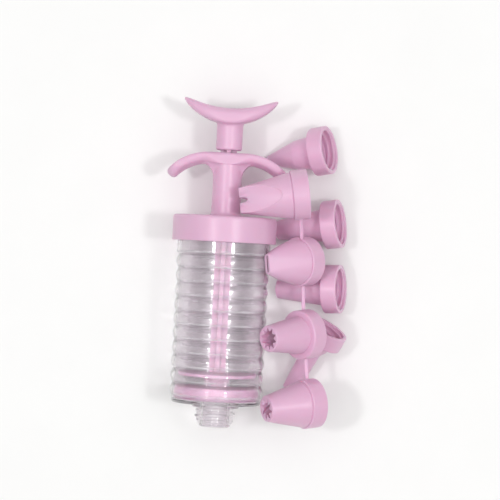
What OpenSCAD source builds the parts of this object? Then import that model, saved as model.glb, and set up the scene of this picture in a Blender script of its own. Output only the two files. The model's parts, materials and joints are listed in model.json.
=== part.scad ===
// Pastry syringe with its eight screw-on nozzles, lying on a table as a set.
// The syringe's axis runs along Y with the thumb rest towards +Y, and the nozzles lie at +X.
// Millimetres, +Z up. The origin is on the table, under the middle of the whole set.

/* [Barrel] */
// Diameter over the ribs
barrel_d = 48.4; // [47:0.2:49]
// Length from the bottom plate to the lower edge of the cap
barrel_len = 84; // [78:1:96]
// Diameter of the bore
bore_d = 44.4; // [43:0.2:45]
// Thickness of the bottom plate
bottom_t = 1.6; // [1.2:0.1:2.4]
// Number of ribs
rib_count = 10; // [6:1:12]
// Height of a rib
rib_h = 0.9; // [0.4:0.1:1]
// Plain band below the ribs
low_band = 3; // [2:0.5:5]
// Plain band between the ribs and the cap
high_band = 7; // [4:0.5:10]

/* [Spout] */
// Diameter of the boss that a nozzle seats against
boss_d = 24.4; // [23:0.2:25]
// Height of the boss
boss_h = 2; // [1:0.5:3]
// Crest diameter of the spout's thread
spout_d = 21; // [19:0.2:21.4]
// Length of the spout below the bottom plate
spout_len = 12; // [10:0.5:14]
// Length of the spout's tapered nose
nose_len = 3; // [2:0.5:4]
// Diameter of the nose at its end
nose_d = 15.5; // [14.5:0.5:17]
// Diameter of the outlet
outlet_d = 12.6; // [10:0.2:13]

/* [Thread] */
// Distance from one thread ridge to the next on the cap
cap_pitch = 4; // [3.6:0.1:4.4]
// Distance from one thread ridge to the next on the spout
spout_pitch = 3; // [2.8:0.1:3.2]
// Height of a thread ridge
ridge_h = 0.9; // [0.6:0.1:1]
// Width of a thread ridge at its root
ridge_w = 1.5; // [1.2:0.1:1.6]
// Width of a thread ridge at its crest
crest_w = 0.7; // [0.4:0.1:0.8]
// Height of the first thread ridge above the cap's lower edge
thread_start = 3; // [2:0.2:3.4]
// Least wall of the barrel under its thread
thread_wall = 1.6; // [1.2:0.1:1.8]

/* [Finger cap] */
// Diameter of the cap
cap_d = 54; // [53:0.2:56]
// Height of the cap
cap_h = 13.4; // [13:0.2:16]
// Thickness of the cap's skirt
skirt_t = 1.8; // [1.4:0.1:2]
// Thickness of the cap's top
cap_top_t = 2; // [1.6:0.1:3]
// Rounding of the cap's upper edge
cap_round = 1.6; // [1:0.2:2.6]
// Diameter of the neck
neck_d = 15; // [13:0.5:18]
// Diameter of the neck's foot on the cap
neck_foot_d = 17; // [16:0.5:20]
// Height of the finger grip above the cap
grip_h = 32.9; // [31:0.1:38]
// Span across the two finger wings
grip_span = 63.6; // [58:0.2:68]
// Fall of the wings from the middle to their ends
grip_drop = 10.5; // [8:0.5:12]
// Length of the straight middle of the finger grip
grip_flat = 18; // [14:1:22]
// Thickness of the wings in the middle
grip_t = 6; // [5:0.1:7]
// Thickness of the wings at their front and back edges
rim_t = 3.4; // [3:0.1:4]
// Width of the wings, front to back
grip_w = 15.4; // [13:0.1:16]
// Radius of the webs under the wings
web_r = 5; // [3:0.5:8]
// Thickness of the webs under the wings
web_t = 12; // [8:0.5:13]

/* [Plunger] */
// Diameter over the ribs of the rod
rod_d = 8.7; // [7.5:0.1:9.5]
// Thickness of each of the rod's ribs
rod_rib_t = 2.4; // [1.8:0.1:3]
// Diameter of the thumb rest's socket
socket_d = 13.6; // [12:0.2:16]
// Length of the socket below the thumb rest
socket_len = 13.6; // [12:0.2:18]
// Depth that the rod reaches into the socket
socket_depth = 11; // [8:0.5:12]
// Gap between the finger grip and the socket when the plunger is pushed in
pushed_gap = 1.4; // [1:0.1:3]
// Width across the thumb rest
thumb_span = 52; // [46:1:58]
// Rise of the thumb rest from its middle to its ends
thumb_rise = 14.5; // [11:0.5:16]
// Thickness of the thumb rest at its middle
thumb_t = 8; // [6:0.5:9]
// Depth of the thumb rest, front to back
thumb_w = 20; // [16:0.5:24]
// Rounding of the thumb rest's ends
thumb_end_r = 1; // [0.8:0.1:1.4]
// Thickness of the piston head
piston_t = 6.5; // [5:0.5:8]
// Gap between the piston head and the rod's disc
piston_gap = 5.6; // [4:0.2:8]
// Diameter of the piston's hub
hub_d = 13; // [11:0.5:16]
// Diameter of the rod's disc
disc_d = 41; // [36:0.5:42]
// Thickness of the rod's disc
disc_t = 1.5; // [1.2:0.1:2.5]
// Diameter of the spigot that the piston head clips on
spigot_d = 8; // [6:0.5:9]
// Length of the spigot
spigot_len = 8; // [5:0.5:9]

/* [Nozzles] */
// Diameter of a nozzle's collar
collar_d = 25.5; // [25.2:0.1:26.4]
// Length of a nozzle's collar
collar_len = 8.5; // [8:0.1:9.5]
// Wall of a nozzle
nozzle_wall = 1.6; // [1.2:0.1:2]
// Depth of the groove between collar and body
groove = 0.5; // [0.3:0.1:0.8]
// Diameter of a slender nozzle's body at its collar
slender_d = 17.6; // [16:0.2:20]
// Diameter of a full nozzle's body at its collar
full_d = 24; // [22:0.2:24.6]
// Diameter of the open star nozzle's body at its collar
open_star_d = 19.6; // [18:0.2:21]
// Body length of the fine round nozzle
fine_len = 27; // [25:0.5:28]
// Tip diameter of the fine round nozzle
fine_tip_d = 4; // [3:0.2:6]
// Height above the collar where the fine round nozzle bends in to its point
fine_bend_at = 10; // [8:0.5:12]
// Diameter of the fine round nozzle at that bend
fine_bend_d = 15.6; // [14:0.2:16]
// Body length of the wide round nozzle and the small star nozzle
slender_len = 26; // [22:0.5:28]
// Tip diameter of the wide round nozzle and the small star nozzle
slender_tip_d = 10; // [8:0.2:12]
// Body length of the filler nozzle
filler_len = 31; // [28:0.5:33]
// Tip diameter of the filler nozzle
filler_tip_d = 8.4; // [7:0.2:9]
// Height above the collar where the filler nozzle's tube starts
filler_bend_at = 7; // [5:0.5:9]
// Diameter of the filler nozzle's tube at its start
filler_bend_d = 10; // [9.2:0.2:12]
// Body length of the open star nozzle, the swirl star nozzle and the petal nozzle
star_len = 21; // [19:0.5:23]
// Tip diameter of the open star nozzle and the swirl star nozzle
star_tip_d = 13.4; // [12:0.2:15]
// Width of the petal nozzle's pinched edge
petal_edge = 9; // [8:0.5:11]
// Thickness of the petal nozzle's pinched edge
petal_t = 3.6; // [3:0.1:4.4]
// Body length of the leaf nozzle
leaf_len = 27; // [24:0.5:29]
// Tip diameter of the leaf nozzle
leaf_tip_d = 13; // [12:0.2:15]
// Diameter of the leaf nozzle's hole at its tip
leaf_hole_d = 6; // [5:0.2:8]
// Slope of the leaf nozzle's two cuts
leaf_angle = 24; // [20:1:28]
// Width of the runner strips that join four nozzles
runner_w = 2; // [1.4:0.1:3]

/* [Clearances] */
// Radial gap of the piston in the bore and of the rod in the neck
slide_gap = 0.08; // [0.04:0.01:0.1]
// Radial gap of a thread
thread_gap = 0.3; // [0.2:0.05:0.4]
// Gap between pieces that seat end to end
seat_gap = 0.3; // [0.2:0.05:0.5]
// Radial gap of a pressed joint
press_gap = 0.03; // [0.02:0.01:0.05]
// Gap between pieces that lie against each other
lay_gap = 1.7; // [0.3:0.1:3]

/* [Hidden] */
$fn = 64;
PINK = "#f2b3cf";
CLEAR = "#e4e6ea";
eps = 0.01;

// Radii
barrel_r = barrel_d / 2;
bore_r = bore_d / 2;
cap_r = cap_d / 2;
cap_bore_r = cap_r - skirt_t;
barrel_crest_r = cap_bore_r - thread_gap;
barrel_root_r = barrel_crest_r - ridge_h;
spout_r = spout_d / 2;
spout_core_r = spout_r - ridge_h;
neck_r = neck_d / 2;
guide_r = rod_d / 2 + slide_gap;
collar_r = collar_d / 2;
collar_bore_r = spout_r + thread_gap;

// Places along the syringe's axis, counted from the underside of the bottom plate
piston_at = bottom_t + seat_gap;
disc_at = piston_at + piston_t + piston_gap;
rod_at = disc_at + disc_t;
cap_at = barrel_len;
cap_top_at = cap_at + cap_h;
cap_under_at = cap_top_at - cap_top_t;
barrel_top_at = cap_under_at - seat_gap;
grip_top_at = cap_top_at + grip_h;
socket_at = grip_top_at + pushed_gap;
thumb_at = socket_at + socket_len;
thumb_end_at = thumb_at + thumb_rise;
first_ridge_at = cap_at + thread_start;

// Radius of an arc from half its chord and its rise
function arc_radius(half, rise) = (half * half + rise * rise) / (2 * rise);

// Points of an arc about a centre, from one angle to another
function arc(centre, r, from, to, steps = 12) =
    [for (i = [0:steps]) let (a = from + (to - from) * i / steps) centre + r * [cos(a), sin(a)]];

// Half section of one thread ridge on a shaft (side 1) or in a bore (side -1), going up the axis
function ridge(r, at, side) = [
    [r, at - ridge_w / 2],
    [r + side * ridge_h, at - crest_w / 2],
    [r + side * ridge_h, at + crest_w / 2],
    [r, at + ridge_w / 2]
];

// A list in the other direction
function reversed(list) = [for (i = [len(list) - 1:-1:0]) list[i]];

// Two ridges, one pitch apart
function ridges(r, at, pitch, side) = concat(ridge(r, at, side), ridge(r, at + pitch, side));

// The nozzles: tilt is the rise of the tip over the collar, turn is about the vertical
function nozzle_axis(tilt, turn) = [-cos(tilt) * cos(turn), -cos(tilt) * sin(turn), sin(tilt)];
function rest_tilt(tip_d, body_len) = -atan((collar_d - tip_d) / 2 / body_len);

// A nozzle on the table touches it with its collar's front edge and its tip
function on_table(x, y, tip_d, body_len, turn) =
    let (tilt = rest_tilt(tip_d, body_len))
    [[x, y, collar_r * cos(tilt) - collar_len * sin(tilt)], tilt, turn];

// A nozzle of the upper row leans with its tip's lower edge on the barrel's side
function on_barrel(x, y, edge, body_len, tilt, turn) =
    let (low_x = x - edge / 2 * sin(tilt))
    let (low_z = cap_r + sqrt(pow(barrel_r + lay_gap, 2) - low_x * low_x))
    let (tip = [x, y, low_z + edge / 2 * cos(tilt)])
    [tip - (collar_len + body_len) * nozzle_axis(tilt, turn), tilt, turn];

// The leaf nozzle lies across the right finger wing with the middle of its body
function on_wing(x, y, tip_d, body_len, tilt, turn) =
    let (body_r = (full_d + tip_d) / 4)
    [[x, y, cap_r + grip_w / 2 + body_r - leaf_sink - (collar_len + body_len) / 2 * sin(tilt)], tilt, turn];

// Distances of the petal nozzle's tip below the cap, and of the leaf nozzle's mouth below the finger grip
petal_below = 10.2;
leaf_below = 19.3;

// Depth that the leaf nozzle lies lower because the wing's end is round
leaf_sink = 0.6;

// Each place: centre of the collar's mouth, tilt and turn
fine_place = on_table(52.5, 135.4, fine_tip_d, fine_len, 12);
wide_place = on_table(60.5, 97, slender_tip_d, slender_len, 9);
small_star_place = on_table(62.5, 62.6, slender_tip_d, slender_len, 3);
filler_place = on_table(55.4, 42.3, filler_tip_d, filler_len, 64);
open_star_place = on_barrel(25.4, 35.8, star_tip_d, star_len, 42, 8);
swirl_star_place = on_barrel(26.4, -0.3, star_tip_d, star_len, 29, 8);
petal_place = on_barrel(23, cap_at - petal_below, petal_t, star_len, 43, 7);
leaf_place = on_wing(42, grip_top_at - leaf_below, leaf_tip_d, leaf_len, 3, 9);

upper_row = [leaf_place, petal_place, open_star_place, swirl_star_place];

// The box of the whole set, which the origin is centred under
lower_row = [fine_place, wide_place, small_star_place, filler_place];
x_max = max([for (p = lower_row) p[0].x + collar_r * sqrt(1 - pow(nozzle_axis(p[1], p[2]).x, 2))]);
x_min = -grip_span / 2;
y_max = thumb_end_at + thumb_end_r;
y_min = -spout_len;
middle = [(x_min + x_max) / 2, (y_min + y_max) / 2, 0];

// Lays a shape that stands on the local Z axis along the syringe's axis
module on_axis() {
    translate(-middle)
        translate([0, 0, cap_r])
            rotate([-90, 0, 0])
                children();
}

// Puts a nozzle that stands on its mouth in its place
module at_place(place) {
    translate(-middle)
        translate(place[0])
            rotate([0, place[1] - 90, place[2]])
                children();
}

// Height of the barrel's surface over one rib: a parabola from valley to valley
function rib_r(u) = barrel_r - rib_h * pow(2 * u - 1, 2);

module barrel() {
    ribs_len = barrel_len - low_band - high_band;
    rib_pitch = ribs_len / rib_count;
    rib_steps = 8;
    ribs = [for (k = [0:rib_count - 1], i = [0:rib_steps - 1])
        [rib_r(i / rib_steps), low_band + (k + i / rib_steps) * rib_pitch]];
    valley_r = barrel_r - rib_h;
    spout_ridge_at = -boss_h - spout_pitch - ridge_w;
    outside = concat(
        [[outlet_d / 2, -spout_len], [nose_d / 2, -spout_len], [spout_core_r, nose_len - spout_len]],
        ridges(spout_core_r, spout_ridge_at, spout_pitch, 1),
        [[spout_core_r, -boss_h], [boss_d / 2, -boss_h], [boss_d / 2, 0]],
        [[valley_r, 0]],
        ribs,
        [[valley_r, low_band + ribs_len], [barrel_r, low_band + ribs_len + rib_h]],
        [[barrel_r, cap_at - seat_gap], [barrel_root_r, cap_at - seat_gap]],
        ridges(barrel_root_r, first_ridge_at, cap_pitch, 1),
        [[barrel_root_r, barrel_top_at]]
    );
    // Under a small cap the barrel draws in to a neck
    neck_bore_r = barrel_root_r - thread_wall;
    shoulder_at = cap_at - seat_gap - thread_wall;
    neck = neck_bore_r < bore_r
        ? [[neck_bore_r, barrel_top_at], [neck_bore_r, shoulder_at], [bore_r, shoulder_at]]
        : [[bore_r, barrel_top_at]];
    inside = concat(neck, [[bore_r, bottom_t], [outlet_d / 2, bottom_t]]);
    color(CLEAR, 0.5)
        on_axis()
            rotate_extrude()
                polygon(concat(outside, inside));
}

// Cap and neck as one turned shape
module cap_and_neck() {
    neck_end = grip_top_at - rim_t / 2;
    outside = concat(
        [[cap_bore_r, cap_at], [cap_r, cap_at]],
        arc([cap_r - cap_round, cap_top_at - cap_round], cap_round, 0, 90),
        [[neck_foot_d / 2, cap_top_at], [neck_r, cap_top_at + cap_round], [neck_r, neck_end]],
        [[guide_r, neck_end], [guide_r, cap_under_at], [cap_bore_r, cap_under_at]]
    );
    thread = reversed(ridges(cap_bore_r, first_ridge_at + cap_pitch / 2, cap_pitch, -1));
    rotate_extrude()
        polygon(concat(outside, thread));
}

// Section across a wing: flat on top, round underneath, with its top in the middle at the origin
module wing_section() {
    belly_r = arc_radius(grip_w / 2, grip_t - rim_t);
    belly_spread = asin(grip_w / 2 / belly_r);
    polygon(concat(
        [[0, grip_w / 2], [0, -grip_w / 2]],
        arc([belly_r - grip_t, 0], belly_r, 180 + belly_spread, 180 - belly_spread, 16)
    ));
}

// The two finger wings: a straight middle, two curved arms with round ends, and their webs on the neck
module wings() {
    half = grip_span / 2 - grip_flat / 2;
    top_r = arc_radius(half, grip_drop);
    spread = asin(half / top_r);
    end_r = grip_w / 2;
    web_x = neck_r + web_r;
    under_r = top_r - grip_t;
    web_y = grip_top_at - top_r + sqrt(pow(under_r, 2) - pow(max(web_x - grip_flat / 2, 0), 2));
    intersection() {
        union() {
            translate([-grip_flat / 2, 0, grip_top_at])
                rotate([0, 90, 0])
                    rotate([0, 0, 180])
                        linear_extrude(grip_flat)
                            wing_section();
            for (side = [0, 1])
                mirror([side, 0, 0])
                    translate([grip_flat / 2, 0, grip_top_at - top_r])
                        rotate([90, 0, 0])
                            rotate(90 - spread)
                                rotate_extrude(angle = spread)
                                    translate([top_r, 0])
                                        wing_section();
        }
        linear_extrude(grip_top_at + grip_t) {
            square([grip_span - 2 * end_r, grip_w], center = true);
            for (side = [-1, 1])
                translate([side * (grip_span / 2 - end_r), 0])
                    circle(r = end_r);
        }
    }
    rotate([90, 0, 0])
        linear_extrude(web_t, center = true)
            for (side = [0, 1])
                mirror([side, 0])
                    polygon(concat(
                        [[neck_r - groove, web_y - web_r], [neck_r - groove, web_y + groove]],
                        [[web_x, web_y + groove]],
                        arc([web_x, web_y - web_r], web_r, 90, 180)
                    ));
}

module finger_cap() {
    color(PINK)
        on_axis()
            difference() {
                union() {
                    cap_and_neck();
                    wings();
                }
                translate([0, 0, cap_under_at])
                    cylinder(r = guide_r, h = grip_top_at);
            }
}

module plunger_rod() {
    rod_len = socket_at + socket_depth - rod_at;
    color(PINK)
        on_axis() {
            translate([0, 0, rod_at - eps])
                intersection() {
                    cylinder(d = rod_d, h = rod_len + eps);
                    for (turn = [0, 90])
                        rotate(turn)
                            translate([-rod_d, -rod_rib_t / 2, 0])
                                cube([2 * rod_d, rod_rib_t, rod_len + eps]);
                }
            translate([0, 0, disc_at])
                cylinder(d = disc_d, h = disc_t);
            translate([0, 0, disc_at - spigot_len])
                cylinder(d = spigot_d, h = spigot_len + eps);
        }
}

module thumb_rest() {
    half = thumb_span / 2 - thumb_end_r;
    // The ends are round, and the two arcs meet the rounding on its lower and its upper side
    end_x = thumb_end_r * 0.8;
    end_y = thumb_end_r * 0.6;
    under_r = arc_radius(half + end_x, thumb_rise - end_y);
    over_r = arc_radius(half - end_x, thumb_rise - thumb_t + end_y);
    under_spread = asin((half + end_x) / under_r);
    over_spread = asin((half - end_x) / over_r);
    outline_half = thumb_span / 2 + 2 * thumb_end_r;
    outline_r = arc_radius(outline_half, thumb_w / 2);
    color(PINK)
        on_axis()
            difference() {
                union() {
                    intersection() {
                        rotate([90, 0, 0])
                            linear_extrude(thumb_w, center = true) {
                                polygon(concat(
                                    arc([0, thumb_at + under_r], under_r,
                                        270 - under_spread, 270 + under_spread, 32),
                                    arc([0, thumb_at + thumb_t + over_r], over_r,
                                        270 + over_spread, 270 - over_spread, 32)
                                ));
                                for (side = [-1, 1])
                                    translate([side * half, thumb_end_at])
                                        circle(r = thumb_end_r);
                            }
                        linear_extrude(y_max + thumb_t)
                            intersection_for(side = [-1, 1])
                                translate([0, side * (outline_r - thumb_w / 2)])
                                    circle(r = outline_r);
                    }
                    translate([0, 0, socket_at])
                        cylinder(d = socket_d, h = socket_len + thumb_t / 2);
                }
                translate([0, 0, socket_at - eps])
                    cylinder(r = rod_d / 2 + press_gap, h = socket_depth + seat_gap + eps);
            }
}

module piston_head() {
    piston_r = bore_r - slide_gap;
    edge = 0.8;
    color(PINK)
        on_axis()
            difference() {
                union() {
                    translate([0, 0, piston_at])
                        rotate_extrude()
                            polygon([
                                [0, 0], [piston_r - edge, 0], [piston_r, edge],
                                [piston_r, piston_t - edge], [piston_r - edge, piston_t], [0, piston_t]
                            ]);
                    translate([0, 0, piston_at + piston_t - eps])
                        cylinder(d = hub_d, h = piston_gap + eps);
                }
                translate([0, 0, disc_at - spigot_len - seat_gap])
                    cylinder(r = spigot_d / 2 + press_gap, h = spigot_len + seat_gap + eps);
            }
}

// Screw collar of a nozzle, standing on its mouth, with an opening into the body
module collar(opening_d) {
    ridge_at = collar_len - nozzle_wall - spout_pitch - ridge_w;
    rotate_extrude()
        polygon(concat(
            [[collar_bore_r, 0], [collar_r, 0], [collar_r, collar_len], [opening_d / 2, collar_len]],
            [[opening_d / 2, collar_len - nozzle_wall], [collar_bore_r, collar_len - nozzle_wall]],
            reversed(ridges(collar_bore_r, ridge_at, spout_pitch, -1))
        ));
}

// Round tapered nozzle: collar, groove and hollow body in one. Each bend is a radius and a height
module round_nozzle(base_d, tip_d, body_len, hole_d, bends = []) {
    inner_r = base_d / 2 - nozzle_wall - groove;
    collar(2 * inner_r);
    translate([0, 0, collar_len - eps])
        rotate_extrude()
            polygon(concat(
                [[inner_r, 0], [base_d / 2 - groove, 0], [base_d / 2, groove]],
                bends,
                [[tip_d / 2, body_len], [hole_d / 2, body_len]],
                [for (bend = reversed(bends)) bend - [nozzle_wall, 0]],
                [[inner_r, groove]]
            ));
}

// Star-shaped cutter for a tip
module star(teeth, outer_d, inner_d, h) {
    linear_extrude(h)
        polygon([for (i = [0:2 * teeth - 1])
            (i % 2 == 0 ? outer_d : inner_d) / 2 * [cos(180 * i / teeth), sin(180 * i / teeth)]]);
}

module nozzle_fine_round() {
    color(PINK)
        at_place(fine_place)
            round_nozzle(slender_d, fine_tip_d, fine_len, fine_tip_d - nozzle_wall,
                         [[fine_bend_d / 2, fine_bend_at]]);
}

module nozzle_wide_round() {
    color(PINK)
        at_place(wide_place)
            round_nozzle(slender_d, slender_tip_d, slender_len, slender_tip_d - 2 * nozzle_wall);
}

module nozzle_filler() {
    color(PINK)
        at_place(filler_place)
            round_nozzle(slender_d, filler_tip_d, filler_len, filler_tip_d - 2 * nozzle_wall,
                         [[filler_bend_d / 2, filler_bend_at]]);
}

// A nozzle with a toothed opening at its tip
module star_nozzle(base_d, tip_d, body_len, teeth) {
    slot_d = tip_d - nozzle_wall;
    hole_d = slot_d * 0.64;
    cut = 5;
    difference() {
        round_nozzle(base_d, tip_d, body_len, hole_d);
        translate([0, 0, collar_len + body_len - cut])
            star(teeth, slot_d, hole_d - eps, cut + 1);
    }
}

module nozzle_small_star() {
    color(PINK)
        at_place(small_star_place)
            star_nozzle(slender_d, slender_tip_d, slender_len, 6);
}

module nozzle_open_star() {
    color(PINK)
        at_place(open_star_place)
            star_nozzle(open_star_d, star_tip_d, star_len, 10);
}

module nozzle_swirl_star() {
    slots = 8;
    slot_w = 1.3;
    slot_r = (star_tip_d - nozzle_wall) / 2;
    slant = 28;
    hole_d = star_tip_d * 0.42;
    cut = 4;
    color(PINK)
        at_place(swirl_star_place)
            difference() {
                round_nozzle(full_d, star_tip_d, star_len, hole_d);
                for (i = [0:slots - 1])
                    rotate(i * 360 / slots)
                        translate([hole_d / 4, 0, collar_len + star_len - cut / 2])
                            rotate([slant, 0, 0])
                                translate([0, -slot_w / 2, -cut])
                                    cube([slot_r - hole_d / 4, slot_w, 2.5 * cut]);
            }
}

module nozzle_leaf() {
    tip_half = 1.4;
    roll = 95;
    color(PINK)
        at_place(leaf_place)
            rotate(roll)
                difference() {
                    round_nozzle(full_d, leaf_tip_d, leaf_len, leaf_hole_d);
                    for (side = [0, 1])
                        mirror([0, side, 0])
                            translate([-collar_d, tip_half, collar_len + leaf_len])
                                rotate([leaf_angle, 0, 0])
                                    translate([0, 0, -leaf_len])
                                        cube([2 * collar_d, collar_d, 2 * leaf_len]);
                }
}

// Body of the petal nozzle, from a round base to a level pinched edge
module petal_body(base_d, edge, edge_t, h) {
    hull() {
        cylinder(d = base_d, h = eps, $fn = 48);
        for (side = [-1, 1])
            translate([0, side * (edge - edge_t) / 2, h - eps])
                cylinder(d = edge_t, h = eps, $fn = 16);
    }
}

module nozzle_petal() {
    slit = petal_t - 2;
    color(PINK)
        at_place(petal_place) {
            collar(full_d - 2 * nozzle_wall);
            translate([0, 0, collar_len - eps])
                difference() {
                    petal_body(full_d, petal_edge, petal_t, star_len);
                    translate([0, 0, -eps])
                        petal_body(full_d - 2 * nozzle_wall, petal_edge - 2, slit, star_len + 3 * eps);
                }
        }
}

// Outside of a collar with a gap round it, to end the runner strips against
module collar_space(place) {
    translate(place[0])
        rotate([0, place[1] - 90, place[2]])
            translate([0, 0, -collar_len / 2])
                cylinder(r = collar_r + press_gap, h = 2 * collar_len);
}

// A strip from one point to another
module strip(from, to) {
    run = to - from;
    reach = norm(run);
    translate(from)
        rotate([0, acos(run.z / reach), atan2(run.y, run.x)])
            translate([-runner_w / 2, -runner_w / 2, 0])
                cube([runner_w, runner_w, reach]);
}

module nozzle_runner() {
    color(PINK)
        translate(-middle)
            for (i = [0:len(upper_row) - 2]) {
                a = upper_row[i];
                b = upper_row[i + 1];
                from = a[0] + nozzle_axis(a[1], a[2]) * collar_len / 2;
                to = b[0] + nozzle_axis(b[1], b[2]) * collar_len / 2;
                difference() {
                    strip(from, to);
                    collar_space(a);
                    collar_space(b);
                }
            }
}

finger_cap();
barrel();
plunger_rod();
thumb_rest();
piston_head();
nozzle_fine_round();
nozzle_leaf();
nozzle_wide_round();
nozzle_petal();
nozzle_small_star();
nozzle_open_star();
nozzle_filler();
nozzle_swirl_star();
nozzle_runner();
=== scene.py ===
"""Pastry syringe with its eight screw-on nozzles, lying as a set.

Each visible piece is a closed surface worked out with numpy. It stands for one CAD node and moves with that
node's body. Sizes are in millimetres, and a mesh is put into the frame's metres when it is made.
"""

import json
import math

import bmesh
import bpy
import numpy as np
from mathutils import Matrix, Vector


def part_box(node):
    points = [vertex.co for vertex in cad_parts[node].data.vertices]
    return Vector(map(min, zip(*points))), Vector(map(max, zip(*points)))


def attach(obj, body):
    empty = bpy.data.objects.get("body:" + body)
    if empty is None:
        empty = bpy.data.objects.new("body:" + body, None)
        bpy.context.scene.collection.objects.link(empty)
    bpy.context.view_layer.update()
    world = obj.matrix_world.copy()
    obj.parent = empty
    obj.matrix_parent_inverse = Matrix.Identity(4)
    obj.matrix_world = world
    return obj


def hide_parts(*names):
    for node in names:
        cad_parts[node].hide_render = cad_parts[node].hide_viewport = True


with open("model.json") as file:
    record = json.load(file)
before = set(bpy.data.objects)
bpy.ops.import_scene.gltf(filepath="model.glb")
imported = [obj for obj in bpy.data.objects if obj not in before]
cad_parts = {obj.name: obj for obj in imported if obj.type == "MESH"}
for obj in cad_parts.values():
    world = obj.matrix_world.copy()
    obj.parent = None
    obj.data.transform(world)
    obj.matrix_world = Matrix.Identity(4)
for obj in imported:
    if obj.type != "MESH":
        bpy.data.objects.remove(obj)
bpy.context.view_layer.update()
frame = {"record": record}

MM = 0.001
BODY_OF = {node: body for body, nodes in frame["record"]["behaviour"]["bodies"].items() for node in nodes}

# Barrel and spout
BARREL_LEN = 84.0
BARREL_R = 24.2
BORE_R = 22.2
BOTTOM_T = 1.6
RIB_COUNT = 10
RIB_H = 0.9
VALLEY_POWER = 1.5
LOW_BAND = 3.0
HIGH_BAND = 7.0
BOSS_R = 12.2
BOSS_H = 2.0
SPOUT_R = 10.5
SPOUT_LEN = 12.0
NOSE_LEN = 3.0
NOSE_R = 7.75
OUTLET_R = 6.3

# Threads
RIDGE_H = 0.9
RIDGE_W = 1.5
CREST_W = 0.7
CAP_PITCH = 4.0
SPOUT_PITCH = 3.0
THREAD_START = 3.0

# Finger cap
CAP_R = 27.0
CAP_H = 13.4
SKIRT_T = 1.8
CAP_TOP_T = 2.0
CAP_ROUND = 1.6
NECK_R = 7.5
NECK_FOOT_R = 8.5
GRIP_H = 32.9
GRIP_SPAN = 63.6
GRIP_DROP = 10.5
GRIP_FLAT = 18.0
GRIP_T = 6.0
RIM_T = 3.4
GRIP_W = 15.4
GRIP_EDGE = 2.6
WING_END = 1.0
WEB_R = 7.0
WEB_FADE = 2.0

# Plunger
ROD_R = 4.35
ROD_RIB_T = 2.4
SOCKET_R = 6.8
SOCKET_LEN = 13.6
SOCKET_DEPTH = 11.0
PUSHED_GAP = 1.4
THUMB_SPAN = 49.0
THUMB_RISE = 12.0
THUMB_T = 8.0
THUMB_W = 20.0
THUMB_END_R = 1.5
THUMB_EDGE = 3.4
PISTON_T = 6.5
PISTON_GAP = 5.6
HUB_R = 6.5
DISC_R = 20.5
DISC_T = 1.5
SPIGOT_R = 4.0
SPIGOT_LEN = 8.0

# Nozzles
COLLAR_R = 12.75
COLLAR_LEN = 8.5
NOZZLE_WALL = 1.6
GROOVE = 0.5
SLENDER_R = 8.8
FULL_R = 12.0
OPEN_STAR_R = 9.8
FINE_LEN = 27.0
FINE_TIP_R = 2.0
FINE_BEND = (7.8, 10.0)
SLENDER_LEN = 26.0
SLENDER_TIP_R = 5.0
FILLER_LEN = 31.0
FILLER_TIP_R = 4.2
FILLER_BEND = (5.0, 7.0)
BEND_ROUND = 3.0
STAR_LEN = 21.0
STAR_TIP_R = 6.7
STAR_HOLE_SHARE = 0.64
SWIRL_HOLE_SHARE = 0.42
PETAL_EDGE = 10.4
PETAL_T = 3.6
PETAL_RIM = 1.0
PETAL_LIP = 1.3
LEAF_LEN = 27.0
LEAF_TIP_R = 6.5
LEAF_HOLE_R = 2.0
LEAF_ANGLE = math.radians(24)
LEAF_TIP_HALF = 1.4
LEAF_ROLL = math.radians(95)
LEAF_SINK = 0.6
RUNNER_W = 2.0

# Clearances
SLIDE_GAP = 0.08
THREAD_GAP = 0.3
SEAT_GAP = 0.3
PRESS_GAP = 0.03
LAY_GAP = 1.7

# Points round each surface
BARREL_COLUMNS = 192
CAP_COLUMNS = 320
THUMB_COLUMNS = 240
DISC_COLUMNS = 128
PISTON_COLUMNS = 144
ROUND_COLUMNS = 128
CUT_COLUMNS = 192
TOOTH_COLUMNS = 24
STRIP_COLUMNS = 40

# Radii and heights that follow from the sizes; heights count from the underside of the bottom plate
CAP_BORE_R = CAP_R - SKIRT_T
BARREL_CREST_R = CAP_BORE_R - THREAD_GAP
BARREL_ROOT_R = BARREL_CREST_R - RIDGE_H
SPOUT_CORE_R = SPOUT_R - RIDGE_H
COLLAR_BORE_R = SPOUT_R + THREAD_GAP
GUIDE_R = ROD_R + SLIDE_GAP
PISTON_AT = BOTTOM_T + SEAT_GAP
DISC_AT = PISTON_AT + PISTON_T + PISTON_GAP
ROD_AT = DISC_AT + DISC_T
CAP_AT = BARREL_LEN
CAP_TOP_AT = CAP_AT + CAP_H
CAP_UNDER_AT = CAP_TOP_AT - CAP_TOP_T
BARREL_TOP_AT = CAP_UNDER_AT - SEAT_GAP
GRIP_TOP_AT = CAP_TOP_AT + GRIP_H
SOCKET_AT = GRIP_TOP_AT + PUSHED_GAP
THUMB_AT = SOCKET_AT + SOCKET_LEN

barrel_low, barrel_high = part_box("barrel")
SYRINGE_FOOT = np.array([
    (barrel_low.x + barrel_high.x) / 2,
    barrel_low.y + SPOUT_LEN * MM,
    (barrel_low.z + barrel_high.z) / 2,
]) / MM


def smooth(t):
    """0 below 0, 1 above 1, and 3 t^2 - 2 t^3 between."""
    t = np.clip(t, 0, 1)
    return t * t * (3 - 2 * t)


def arc_radius(half, rise):
    """Radius of an arc from half its chord and its rise: (half^2 + rise^2) / (2 rise)."""
    return (half * half + rise * rise) / (2 * rise)


def arc_fall(radius, x):
    """How far an arc has left its tangent at a distance x from the middle."""
    return radius - np.sqrt(radius * radius - x * x)


def turn_angles(count):
    """Even angles round a circle."""
    return np.linspace(0, 2 * np.pi, count, endpoint=False)[None, :]


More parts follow.
